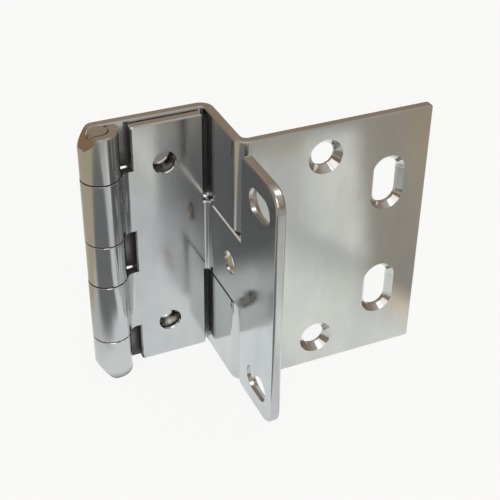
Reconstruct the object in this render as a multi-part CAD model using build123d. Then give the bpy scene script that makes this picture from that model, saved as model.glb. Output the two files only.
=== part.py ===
from build123d import *
import math
import os

# Five-knuckle wrap-around cabinet hinge, closed. All sizes are in millimetres.
# The pin stands along Z. The plates run off to +X and the flanges come forward to -Y.

# Stock and barrel
leaf_height = 69.85          # two and three quarter inches along the pin
sheet = 2.41                 # .095 in steel sheet
pin_diameter = 4.76          # three sixteenths of an inch
running_clearance = 0.05     # radial, between the pin and the door leaf's knuckles
knuckle_gap = 0.3            # axial, between neighbouring knuckles
end_knuckle = 12.0
middle_knuckle = 11.8
seam_opening = 0.3           # slit left where a knuckle's rolled end meets its own plate
root_setback = 7.7           # pin axis to a plate's edge beside the other leaf's knuckles
root_radius = 4.0            # middle of the sheet where the door leaf sweeps into its knuckles

# Tips of the barrel, ground off on a slant away from the plates
tip_start = 1.4              # how far past the pin axis the slant starts
tip_angle = 48
tip_ridge_radius = 2.4

# What the hinge wraps
door_thickness = 20.64       # thirteen sixteenths of an inch
door_to_barrel = 1.4         # clearance between the door's face and the barrel
panel_thickness = 20.64      # the same again

# Plates and flanges
leaf_gap = 0.5               # between the two plates when closed
bend_radius = 1.2            # inside every fold
cabinet_flange_width = 48.5
door_plate_margin = 0.6      # the door plate stops this short of each end
door_flange_width = 19.4
door_flange_margin = 1.7
door_flange_corner = 5.0
shoulder_corner = 1.5
flange_to_shoulder = 1.6     # cabinet flange's front face to the door flange's shoulders
neck_height = 20.6
window_gap = 0.45            # around the neck where it lies in the cabinet leaf's window
inside_corner = 0.8
outside_corner = 0.8
edge_break = 0.35            # small bevel round the cut edges of the sheet
door_flange_round = 0.6      # the door flange's edges are rounded over
seam_chamfer = 0.1

# Screw holes, all sunk to one size
screw_hole = 6.0
slot_width = 6.6                 # wider than the round holes, so a screw can slide
countersink = 9.0
countersink_angle = 82
cabinet_slot_travel = 6.0        # between the centres of a slot's round ends
door_slot_travel = 4.4
cabinet_round_holes_x = 20.1     # from the web's outer face
cabinet_round_holes_spacing = 53.7
cabinet_slots_x = 37.6
cabinet_slots_spacing = 31.75
door_plate_holes_x = 15.75       # from the pin axis
door_plate_holes_spacing = 46.9
neck_hole_y = -13.6
door_slots_y = -30.2
door_slots_spacing = 50.8

# Sizes that follow from the ones above
middle = leaf_height / 2
pin_radius = pin_diameter / 2
barrel_radius = pin_radius + sheet
door_bore = pin_radius + running_clearance
door_barrel = door_bore + sheet
web_left = barrel_radius + door_to_barrel + door_thickness
web_right = web_left + sheet
outer_bend = bend_radius + sheet
cabinet_plate_back = barrel_radius
cabinet_plate_front = cabinet_plate_back - sheet
flange_back = cabinet_plate_back - panel_thickness
flange_front = flange_back - sheet
flange_end = web_right + cabinet_flange_width
door_plate_back = cabinet_plate_front - leaf_gap
door_plate_front = door_plate_back - sheet
door_plate_edge = web_left - bend_radius
shoulder = flange_front - flange_to_shoulder
door_flange_end = shoulder - door_flange_width
neck_bottom = middle - neck_height / 2
neck_top = middle + neck_height / 2
seam_heights = [
    end_knuckle,
    middle - middle_knuckle / 2,
    middle + middle_knuckle / 2,
    leaf_height - end_knuckle,
]
far = 120                        # beyond everything here, for cutting tools
overlap = 2.0                    # how far joined pieces of one leaf run into each other

# The finished hinge stands on its end, with the middle of its outline over the origin
to_frame = Pos((door_barrel - flange_end) / 2, (-door_barrel - door_flange_end) / 2, 0)


def block(x0, x1, y0, y1, z0, z1):
    """A box between two corners."""
    return Pos((x0 + x1) / 2, (y0 + y1) / 2, (z0 + z1) / 2) * Box(x1 - x0, y1 - y0, z1 - z0)


def rounded_plate(plate, thickness_axis, corners):
    """Round a plate's corners, each at its own radius."""
    for radius, chosen in corners:
        plate = fillet(plate.edges().filter_by(thickness_axis).filter_by(chosen), radius)
    return plate


def folded_sheet(bends, left_end, right_end):
    """A strip of sheet seen along Z and drawn up to full height.

    It starts at a rolled edge. Each bend is its centre, the radius of the face on the left of
    travel, the angle it starts at and the angle it turns. The strip ends square at the two points.
    """
    edges = []
    left_last = None
    right_last = None
    for centre, left_radius, start, turn in bends:
        left = CenterArc(centre, left_radius, start, turn)
        right = CenterArc(centre, left_radius + math.copysign(sheet, turn), start, turn)
        if left_last is None:
            edges += [Line(left @ 0, right @ 0)]
        else:
            edges += [Line(left_last, left @ 0), Line(right_last, right @ 0)]
        edges += [left, right]
        left_last = left @ 1
        right_last = right @ 1
    edges += [Line(left_last, left_end), Line(right_last, right_end), Line(left_end, right_end)]
    return extrude(make_face(edges), leaf_height, dir=(0, 0, 1))


def sink_depth(width):
    """How deep the countersink runs before it meets a hole or slot of that width."""
    return (countersink - width) / 2 / math.tan(math.radians(countersink_angle / 2))


def sunk_hole(plane):
    """Cutter for a countersunk round hole. The plane lies on the sunk face."""
    through = Circle(screw_hole / 2)
    sink = loft([plane * Circle(countersink / 2), plane.offset(-sink_depth(screw_hole)) * through])
    return sink + extrude(plane.offset(-2 * sheet) * through, 3 * sheet)


def sunk_slot(plane, travel):
    """Cutter for a countersunk slot along the plane's x. The plane lies on the sunk face."""
    through = SlotCenterToCenter(travel, slot_width)
    mouth = SlotCenterToCenter(travel, countersink)
    sink = loft([plane * mouth, plane.offset(-sink_depth(slot_width)) * through])
    return sink + extrude(plane.offset(-2 * sheet) * through, 3 * sheet)


def pair(spacing):
    """Two heights, level about the middle."""
    return [middle - spacing / 2, middle + spacing / 2]


def notch(low, high):
    """Cutter that clears one leaf's edge for a knuckle of the other."""
    low_edge = low - knuckle_gap / 2
    high_edge = high + knuckle_gap / 2
    tool = block(-far, root_setback, -far, far, low_edge, high_edge)
    return fillet(tool.edges().filter_by(Axis.Y).filter_by(lambda e: e.center().X > 0), inside_corner)


def seam_groove(height, radius):
    """Cutter that softens the two knuckle ends at a seam with a shallow V round the barrel."""
    half = knuckle_gap / 2 + seam_chamfer
    profile = make_face(
        Polyline(
            (radius - half, 0, height),
            (radius + half, 0, height - 2 * half),
            (radius + half, 0, height + 2 * half),
            close=True,
        )
    )
    return revolve(profile, Axis.Z)


def tip_space():
    """Room left for the barrel once both tips are ground: a slab with two slanted, rounded corners."""
    run = (middle - 1) / math.tan(math.radians(tip_angle))
    outline = Polyline(
        (-tip_start - run, middle - 1),
        (-tip_start, 0),
        (far, 0),
        (far, leaf_height),
        (-tip_start, leaf_height),
        (-tip_start - run, middle + 1),
        close=True,
    )
    slab = make_face(outline)
    ridges = slab.vertices().filter_by(lambda v: abs(v.X + tip_start) < 0.01)
    slab = fillet(ridges, tip_ridge_radius)
    upright = Plane(origin=(0, 0, 0), x_dir=(1, 0, 0), z_dir=(0, -1, 0))
    return extrude(upright * slab, far, both=True)


def end_rims(leaf):
    """The border edges of everything that faces up or down, without the joins between those faces."""
    shared = {}
    for face in leaf.faces():
        if abs(face.normal_at().Z) > 0.2:
            for edge in face.edges():
                shared[edge] = shared.get(edge, 0) + 1
    return [edge for edge, count in shared.items() if count == 1 and abs(edge.length - sheet) > 0.05]


def build_cabinet_leaf():
    """Three knuckles, a plate, a web and a wide flange, folded from one sheet."""
    seam = math.degrees(math.asin((cabinet_plate_front - seam_opening) / barrel_radius))
    leaf = folded_sheet(
        [
            ((0, 0), barrel_radius, seam, -270 - seam),
            ((web_right - outer_bend, cabinet_plate_back - outer_bend), outer_bend, 90, -90),
            ((web_right + bend_radius, flange_back + bend_radius), bend_radius, 180, 90),
        ],
        (flange_end, flange_back),
        (flange_end, flange_front),
    )
    leaf = fillet(leaf.edges().filter_by(Axis.Y).sort_by(Axis.X)[-2:], outside_corner)
    leaf = leaf & tip_space()
    leaf = chamfer(end_rims(leaf), edge_break)
    leaf -= notch(seam_heights[0], seam_heights[1])
    leaf -= notch(seam_heights[2], seam_heights[3])
    for height in seam_heights:
        leaf -= seam_groove(height, barrel_radius)
    leaf -= block(
        web_right - outer_bend,
        web_right + bend_radius,
        -far,
        far,
        neck_bottom - window_gap,
        neck_top + window_gap,
    )
    for z in pair(cabinet_round_holes_spacing):
        face = Plane((web_right + cabinet_round_holes_x, flange_front, z), x_dir=(0, 0, 1), z_dir=(0, -1, 0))
        leaf -= sunk_hole(face)
    for z in pair(cabinet_slots_spacing):
        face = Plane((web_right + cabinet_slots_x, flange_front, z), x_dir=(0, 0, 1), z_dir=(0, -1, 0))
        leaf -= sunk_slot(face, cabinet_slot_travel)
    return leaf


def build_door_strip():
    """The door leaf's full-height section: knuckle, the sweep into the plate, the plate and the neck."""
    root_y = door_plate_back - sheet / 2 - root_radius
    between = door_bore + sheet / 2 + root_radius
    root_x = math.sqrt(between**2 - root_y**2)
    join = math.degrees(math.atan2(root_y, root_x))
    root_back = root_radius + sheet / 2
    slit = (between**2 + door_barrel**2 - (root_back + seam_opening) ** 2) / (2 * between * door_barrel)
    seam = join + math.degrees(math.acos(slit))
    return folded_sheet(
        [
            ((0, 0), door_bore, seam, 360 + join - seam),
            ((root_x, root_y), root_back, 180 + join, -90 - join),
            ((web_left - bend_radius, door_plate_front - bend_radius), outer_bend, 90, -90),
        ],
        (web_right, shoulder - overlap),
        (web_left, shoulder - overlap),
    )


def build_door_leaf():
    """Two knuckles, a plate, and a T-shaped flange that passes through the window on its neck."""
    strip = build_door_strip()
    plate_low = door_plate_margin
    plate_high = leaf_height - door_plate_margin
    plate = block(root_setback, door_plate_edge, door_plate_front, door_plate_back, plate_low, plate_high)
    plate = rounded_plate(plate, Axis.Y, [(outside_corner, lambda e: True)])
    leaf = chamfer(plate.faces().filter_by(Axis.Y).edges(), edge_break)
    flange = block(
        web_left,
        web_right,
        door_flange_end,
        shoulder,
        door_flange_margin,
        leaf_height - door_flange_margin,
    )
    is_front = lambda e: e.center().Y < door_flange_end + 0.1
    is_shoulder = lambda e: e.center().Y > shoulder - 0.1
    flange = rounded_plate(flange, Axis.X, [(door_flange_corner, is_front), (shoulder_corner, is_shoulder)])
    leaf += fillet(flange.faces().filter_by(Axis.X).edges(), door_flange_round)
    neck = strip & block(door_plate_edge - overlap, far, -far, far, neck_bottom, neck_top)
    leaf += chamfer(neck.faces().filter_by(Axis.Z).edges(), edge_break)
    for low, high in [seam_heights[0:2], seam_heights[2:4]]:
        low_edge = low + knuckle_gap / 2
        high_edge = high - knuckle_gap / 2
        leaf += strip & block(-far, root_setback + overlap, -far, far, low_edge, high_edge)
    for height in seam_heights:
        leaf -= seam_groove(height, door_barrel)
    for z in pair(door_plate_holes_spacing):
        face = Plane((door_plate_holes_x, door_plate_back, z), x_dir=(0, 0, 1), z_dir=(0, 1, 0))
        leaf -= sunk_hole(face)
    leaf -= sunk_hole(Plane((web_right, neck_hole_y, middle), x_dir=(0, 1, 0), z_dir=(1, 0, 0)))
    for z in pair(door_slots_spacing):
        face = Plane((web_right, door_slots_y, z), x_dir=(0, 1, 0), z_dir=(1, 0, 0))
        leaf -= sunk_slot(face, door_slot_travel)
    return leaf


def build_pin():
    """A plain tight pin, ground off flush with the tips."""
    pin = Pos(0, 0, middle) * Cylinder(pin_radius, leaf_height)
    return pin & tip_space()


pieces = {
    "cabinet_leaf": build_cabinet_leaf(),
    "door_leaf": build_door_leaf(),
    "hinge_pin": build_pin(),
}
os.makedirs("parts", exist_ok=True)
for name, piece in pieces.items():
    export_step(to_frame * piece, f"parts/{name}.step")
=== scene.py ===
import math
import bpy
from mathutils import Matrix, Vector


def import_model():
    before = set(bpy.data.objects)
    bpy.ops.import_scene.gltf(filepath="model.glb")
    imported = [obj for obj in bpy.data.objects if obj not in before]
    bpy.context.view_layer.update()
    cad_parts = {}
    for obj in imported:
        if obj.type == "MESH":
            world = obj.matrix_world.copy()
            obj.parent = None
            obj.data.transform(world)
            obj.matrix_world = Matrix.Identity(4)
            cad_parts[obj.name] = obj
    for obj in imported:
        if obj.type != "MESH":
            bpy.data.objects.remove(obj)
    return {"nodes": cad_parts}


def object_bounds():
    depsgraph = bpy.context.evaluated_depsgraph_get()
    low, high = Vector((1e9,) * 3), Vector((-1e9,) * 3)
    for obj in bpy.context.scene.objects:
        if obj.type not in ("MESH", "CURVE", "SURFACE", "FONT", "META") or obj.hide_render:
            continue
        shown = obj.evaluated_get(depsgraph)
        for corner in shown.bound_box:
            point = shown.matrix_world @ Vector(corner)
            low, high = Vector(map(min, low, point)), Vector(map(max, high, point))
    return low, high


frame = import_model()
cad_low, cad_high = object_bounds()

scene = bpy.context.scene
scene.view_settings.view_transform = "Standard"
millimetre = 0.001
white = (1, 1, 1, 1)


# Node helpers

class Tree:
    """Short calls for building a node tree, which starts empty."""

    def __init__(self, node_tree):
        self.nodes = node_tree.nodes
        self.links = node_tree.links
        self.nodes.clear()

    def add(self, kind, inputs=None, **settings):
        """A node with its settings and inputs. An input that is a socket is linked, any other is set."""
        node = self.nodes.new(kind)
        for key, value in settings.items():
            setattr(node, key, value)
        for key, value in (inputs or {}).items():
            if isinstance(value, bpy.types.NodeSocket):
                self.links.new(value, node.inputs[key])
            else:
                node.inputs[key].default_value = value
        return node

    def math(self, operation, first, second):
        return self.add("ShaderNodeMath", {0: first, 1: second}, operation=operation).outputs[0]

    def vector(self, operation, first, second):
        return self.add("ShaderNodeVectorMath", {0: first, 1: second}, operation=operation).outputs[0]

    def length(self, vector):
        return self.add("ShaderNodeVectorMath", {0: vector}, operation="LENGTH").outputs["Value"]

    def remap(self, value, low, high, to_low, to_high):
        """A value eased smoothly from one range to another."""
        inputs = {0: value, 1: low, 2: high, 3: to_low, 4: to_high}
        return self.add("ShaderNodeMapRange", inputs, interpolation_type="SMOOTHSTEP").outputs[0]

    def rise(self, value, start, end):
        """0 below the start and 1 above the end, eased between them."""
        return self.remap(value, start, end, 0.0, 1.0)

    def fall(self, value, start, end):
        """1 below the start and 0 above the end, eased between them."""
        return self.remap(value, start, end, 1.0, 0.0)

    def blend(self, share, first, second):
        """Two colours mixed by a share from 0 to 1. The node takes colours at 6 and 7, gives one at 2."""
        return self.add("ShaderNodeMix", {0: share, 6: first, 7: second}, data_type="RGBA").outputs[2]

    def noise(self, place, scale, detail, roughness):
        inputs = {"Vector": place, "Scale": scale, "Detail": detail, "Roughness": roughness}
        return self.add("ShaderNodeTexNoise", inputs).outputs["Fac"]

    def grain(self, place, stretch, detail, roughness):
        """Noise stretched unevenly, so that it runs one way."""
        stretched = self.add("ShaderNodeMapping", {"Vector": place, "Scale": stretch}).outputs[0]
        return self.noise(stretched, 1.0, detail, roughness)

    def openness(self, distance):
        """How open a place is within a distance: 0 shut in, 1 free."""
        return self.add("ShaderNodeAmbientOcclusion", {"Distance": distance}, samples=16).outputs["AO"]

    def bump(self, height, strength, depth, under=None, sunken=False):
        """A normal raised or sunken by a height, on top of the normal under it."""
        inputs = {"Height": height, "Strength": strength, "Distance": depth}
        if under is not None:
            inputs["Normal"] = under
        return self.add("ShaderNodeBump", inputs, invert=sunken).outputs[0]


def new_material(name):
    """A material and its empty node tree."""
    material = bpy.data.materials.new(name)
    material.use_nodes = True
    return material, Tree(material.node_tree)


# Polished plating

pin_corners = [Vector(corner) for corner in frame["nodes"]["hinge_pin"].bound_box]
pin_middle = sum(pin_corners, Vector()) / len(pin_corners)

# The painted shade in the slots beside the barrel fades out between these distances from the pin's axis
slot_ring = (8.2 * millimetre, 9.0 * millimetre)

# How far around a recess the painted shade reaches, and the openness at which it is full and at which it
# ends
corner_reach = 3 * millimetre
corner_openness = (0.04, 0.36)
slot_reach = 5 * millimetre
slot_openness = (0.45, 0.75)

# Painted shade: the colours that tight corners and the slots beside the barrel are darkened towards
corner_shade_tone = (0.30, 0.30, 0.305, 1)
slot_shade_tone = (0.10, 0.10, 0.105, 1)
recess_metal = 0.35
recess_dulling = 0.35
scratch_dulling = 0.08
scratch_turn = (0.5, 0.35, 0.6)


def recesses(tree, place):
    """Shares from 0 to 1 of the tight corners, and of the slots beside the barrel, that take the painted
    shade.
    """
    corner = tree.fall(tree.openness(corner_reach), *corner_openness)
    level = tree.vector("MULTIPLY", tree.vector("SUBTRACT", place, pin_middle), (1, 1, 0))
    beside_barrel = tree.fall(tree.length(level), *slot_ring)
    narrow = tree.fall(tree.openness(slot_reach), *slot_openness)
    return corner, tree.math("MULTIPLY", narrow, beside_barrel)


def polished_plating(name, light_tone, dark_tone, polish):
    """Bright plated steel with buffing lines, slight waviness, hazy smears and hairline scratches, and
    painted shade in its tight corners and in the slots beside the barrel.
    """
    material, tree = new_material(name)
    place = tree.add("ShaderNodeTexCoord").outputs["Object"]

    # Buffing lines run up the hinge: fine across, long along
    lines = tree.grain(place, stretch=(2600, 2600, 40), detail=3.0, roughness=0.6)

    # A pressed sheet is never quite flat, so reflections bend a little
    waviness = tree.noise(place, scale=95.0, detail=1.0, roughness=0.4)
    ripple = tree.noise(place, scale=420.0, detail=2.0, roughness=0.5)

    # Smears left by wiping, and sparse hairline scratches on a slant
    smears = tree.grain(place, stretch=(60, 60, 28), detail=4.0, roughness=0.62)
    slanted = tree.add("ShaderNodeMapping", {"Vector": place, "Rotation": scratch_turn}).outputs[0]
    scratch_grain = tree.grain(slanted, stretch=(1900, 1900, 24), detail=1.0, roughness=0.3)
    scratches = tree.rise(scratch_grain, start=0.72, end=0.78)

    # Painted shade: the tone is darkened in tight corners, and most of all in the slots beside the barrel
    corner, slot = recesses(tree, place)
    recess = tree.math("MAXIMUM", corner, slot)
    tone = tree.blend(tree.rise(smears, start=0.3, end=0.72), light_tone, dark_tone)
    tone = tree.blend(corner, tone, corner_shade_tone)
    tone = tree.blend(slot, tone, slot_shade_tone)
    metal = tree.remap(recess, 0.0, 1.0, 1.0, recess_metal)

    # Roughness: haze from the smears, the lines either side of their mean, then scratches and recesses
    least_haze = polish * 0.75
    most_haze = polish * 1.5
    line_dulling = polish * 0.5
    roughness = tree.remap(smears, 0.35, 0.75, least_haze, most_haze)
    line_swing = tree.math("SUBTRACT", lines, 0.5)
    dulled = ((line_swing, line_dulling), (scratches, scratch_dulling), (recess, recess_dulling))
    for share, dulling in dulled:
        roughness = tree.math("ADD", roughness, tree.math("MULTIPLY", share, dulling))

    normal = tree.bump(waviness, strength=0.15, depth=0.35 * millimetre)
    normal = tree.bump(ripple, strength=0.06, depth=0.03 * millimetre, under=normal)
    normal = tree.bump(lines, strength=0.10, depth=0.004 * millimetre, under=normal)
    normal = tree.bump(scratches, strength=0.15, depth=0.006 * millimetre, under=normal, sunken=True)
    shader = tree.add(
        "ShaderNodeBsdfPrincipled",
        {"Base Color": tone, "Metallic": metal, "Roughness": roughness, "Normal": normal},
    )
    tree.add("ShaderNodeOutputMaterial", {"Surface": shader.outputs[0]})
    return material


cabinet_tones = ((0.66, 0.66, 0.64, 1), (0.58, 0.585, 0.575, 1))
door_tones = ((0.65, 0.655, 0.645, 1), (0.57, 0.575, 0.57, 1))
finishes = {
    "cabinet_leaf": polished_plating("bright_plating_cabinet", *cabinet_tones, polish=0.11),
    "door_leaf": polished_plating("bright_plating_door", *door_tones, polish=0.15),
    "hinge_pin": polished_plating("bright_plating_pin", *cabinet_tones, polish=0.11),
}
for name, material in finishes.items():
    for material_slot in frame["nodes"][name].material_slots:
        material_slot.material = material


# Floor: plain and pale to the camera, with painted light and dark zones that only the metal mirrors, as a
# painted reflection

floor_half = 6.0
floor_paper = (0.90, 0.90, 0.895, 1)
camera_white = 0.88
slant_lean = 0.5
reach_lean = 0.4

# Painted reflection: colours that only the metal sees in the floor, standing for light and shade around
# the hinge
far_floor = (0.52, 0.46, 0.34, 1)
lit_paper = (0.63, 0.64, 0.62, 1)
back_paper = (0.58, 0.58, 0.565, 1)
reflected_tan = (0.80, 0.66, 0.48, 1)
reflected_white = (0.86, 0.87, 0.83, 1)
front_grey = (0.44, 0.43, 0.42, 1)
reflected_dim_brown = (0.40, 0.375, 0.335, 1)
reflected_brown = (0.46, 0.385, 0.295, 1)
close_paper = (0.95, 0.97, 0.93, 1)
cool_strip = (0.76, 0.78, 0.81, 1)
foot_paper = (0.84, 0.88, 0.89, 1)
# Painted shadow: the grey of the hinge's shadow on the floor, as the metal mirrors it
painted_shadow_grey = (0.20, 0.205, 0.213, 1)


def painted_floor_reflection(tree):
    """The painted reflection that the metal sees in the floor: zones of painted light and shade with soft
    edges, each laid over those before it.
    """
    place = tree.add("ShaderNodeNewGeometry").outputs["Position"]
    spot = tree.add("ShaderNodeSeparateXYZ", {0: place})
    across = spot.outputs["X"]
    along = spot.outputs["Y"]

    # Slant and reach measure the floor askew, for edges that don't run square to the hinge
    slant = tree.math("ADD", across, tree.math("MULTIPLY", along, slant_lean))
    reach = tree.math("SUBTRACT", across, tree.math("MULTIPLY", along, reach_lean))

    def after(measure, start, end):
        """The floor past an edge that eases in between two places, in millimetres."""
        return tree.rise(measure, start * millimetre, end * millimetre)

    def before(measure, start, end):
        """The floor short of an edge that eases out between two places, in millimetres."""
        return tree.fall(measure, start * millimetre, end * millimetre)

    def both(first, second):
        """The floor that lies in two zones at once."""
        return tree.math("MULTIPLY", first, second)

    def oval(centre, radii, edge):
        """The floor in an oval, in millimetres, with a soft edge given as a share of its size."""
        offset = tree.vector("SUBTRACT", place, Vector((*centre, 0)) * millimetre)
        scaled = tree.vector("DIVIDE", offset, Vector((*radii, 1)) * millimetre)
        return tree.fall(tree.length(scaled), 1 - edge, 1 + edge)

    # Zones of painted light and shade in the floor's painted reflection; lit is a painted pool of light
    lit = oval(centre=(10, -30), radii=(120, 83), edge=0.10)
    behind = both(after(along, 40, 80), after(across, -90, -50))
    warm = both(after(reach, 40, 52), after(slant, 25, 40))
    white_patch = both(after(reach, 60, 68), after(slant, 6, 12))
    front = before(along, -118, -108)
    out_front = after(reach, 50, 62)
    right = both(out_front, after(slant, 25, 35))
    far_right = both(out_front, after(slant, 46, 56))
    close = both(before(reach, 32, 62), after(across, 0, 10))
    strip = oval(centre=(-12, -45), radii=(14, 31), edge=0.30)
    foot = oval(centre=(-20, 10), radii=(32, 30), edge=0.40)

    # The painted shadow is an oval to the front left, squared off on the side towards the hinge
    shade_oval = oval(centre=(-77, -50), radii=(51, 58), edge=0.16)
    shade_sides = both(after(across, -110, -90), before(reach, -18, -12))
    shade_ends = both(after(along, -112, -102), before(along, -18, -8))
    shade = tree.math("MAXIMUM", shade_oval, both(shade_sides, shade_ends))

    zones = (
        (lit, lit_paper),
        (behind, back_paper),
        (warm, reflected_tan),
        (white_patch, reflected_white),
        (front, front_grey),
        (right, reflected_dim_brown),
        (far_right, reflected_brown),
        (close, close_paper),
        (strip, cool_strip),
        (foot, foot_paper),
        (shade, painted_shadow_grey),
    )
    colour = far_floor
    for zone, zone_colour in zones:
        colour = tree.blend(zone, colour, zone_colour)
    return colour


def make_floor():
    """A plain pale floor, nearly white to the camera, that keeps the hinge's shadow."""
    mesh = bpy.data.meshes.new("floor")
    corners = [(-floor_half, -floor_half, 0), (floor_half, -floor_half, 0)]
    corners += [(floor_half, floor_half, 0), (-floor_half, floor_half, 0)]
    mesh.from_pydata(corners, [], [(0, 1, 2, 3)])
    floor = bpy.data.objects.new("floor", mesh)
    scene.collection.objects.link(floor)

    material, tree = new_material("pale_floor")
    light_path = tree.add("ShaderNodeLightPath").outputs
    paper = tree.add("ShaderNodeBsdfDiffuse", {"Color": floor_paper}).outputs[0]
    glow = tree.add("ShaderNodeEmission", {"Color": white, "Strength": 1.0}).outputs[0]
    # Painted reflection: glossy rays see the painted zones instead of the lit paper
    painted_reflection = tree.add("ShaderNodeEmission", {"Color": painted_floor_reflection(tree), "Strength": 1.0}).outputs[0]
    camera_share = tree.math("MULTIPLY", light_path["Is Camera Ray"], camera_white)
    plain = tree.add("ShaderNodeMixShader", {0: camera_share, 1: paper, 2: glow}).outputs[0]
    whole = tree.add("ShaderNodeMixShader", {0: light_path["Is Glossy Ray"], 1: plain, 2: painted_reflection})
    tree.add("ShaderNodeOutputMaterial", {"Surface": whole.outputs[0]})
    mesh.materials.append(material)


# Studio

low_wall = (0.29, 0.19, 0.11, 1)
high_wall = (0.36, 0.29, 0.23, 1)
pale_ceiling = (0.60, 0.58, 0.55, 1)


def make_world():
    """A room with warm, dim walls and a paler ceiling, white to the camera."""
    world = bpy.data.worlds.new("studio")
    scene.world = world
    world.use_nodes = True
    tree = Tree(world.node_tree)
    heading = tree.add("ShaderNodeTexCoord").outputs["Generated"]
    height = tree.add("ShaderNodeSeparateXYZ", {0: heading}).outputs["Z"]
    walls = tree.blend(tree.rise(height, start=0.1, end=0.6), low_wall, high_wall)
    room = tree.blend(tree.rise(height, start=0.55, end=1.0), walls, pale_ceiling)
    to_camera = tree.add("ShaderNodeLightPath").outputs["Is Camera Ray"]
    colour = tree.blend(to_camera, room, white)
    background = tree.add("ShaderNodeBackground", {"Color": colour, "Strength": 1.0})
    tree.add("ShaderNodeOutputWorld", {"Surface": background.outputs[0]})


def soft_box(name, spot, width, height, power):
    """A soft rectangular lamp that faces the middle of the hinge."""
    lamp = bpy.data.lights.new(name, "AREA")
    lamp.shape = "RECTANGLE"
    lamp.size = width
    lamp.size_y = height
    lamp.energy = power
    holder = bpy.data.objects.new(name, lamp)
    scene.collection.objects.link(holder)
    middle = (cad_low + cad_high) / 2
    holder.location = spot
    holder.rotation_mode = "QUATERNION"
    holder.rotation_quaternion = (middle - Vector(spot)).to_track_quat("-Z", "Y")


make_floor()
make_world()
soft_box("key", spot=(-0.31, -0.85, 0.55), width=1.30, height=0.80, power=3.3)
soft_box("ceiling", spot=(0.40, -0.08, 0.95), width=0.40, height=0.40, power=0.8)
soft_box("high_window", spot=(-0.13, -0.69, 0.82), width=0.42, height=0.34, power=0.75)


# Camera at the photograph's angle

azimuth = math.radians(-24.438)
elevation = math.radians(34.269)
roll = math.radians(0.819)
distance = 268.58 * millimetre
target = Vector((-4.02, 3.854, 36.955)) * millimetre
photo_width = 500
focal_pixels = 1100.4

camera = bpy.data.cameras.new("camera")
camera.sensor_fit = "HORIZONTAL"
camera.sensor_width = 36.0
camera.lens = focal_pixels / photo_width * camera.sensor_width
camera.clip_start = 0.01
camera.clip_end = 20.0
viewer = bpy.data.objects.new("camera", camera)
scene.collection.objects.link(viewer)
back = Vector((
    math.sin(azimuth) * math.cos(elevation),
    -math.cos(azimuth) * math.cos(elevation),
    math.sin(elevation),
))
turn = (-back).to_track_quat("-Z", "Y").to_matrix().to_4x4()
viewer.matrix_world = Matrix.Translation(target + back * distance) @ turn @ Matrix.Rotation(roll, 4, "Z")
scene.camera = viewer
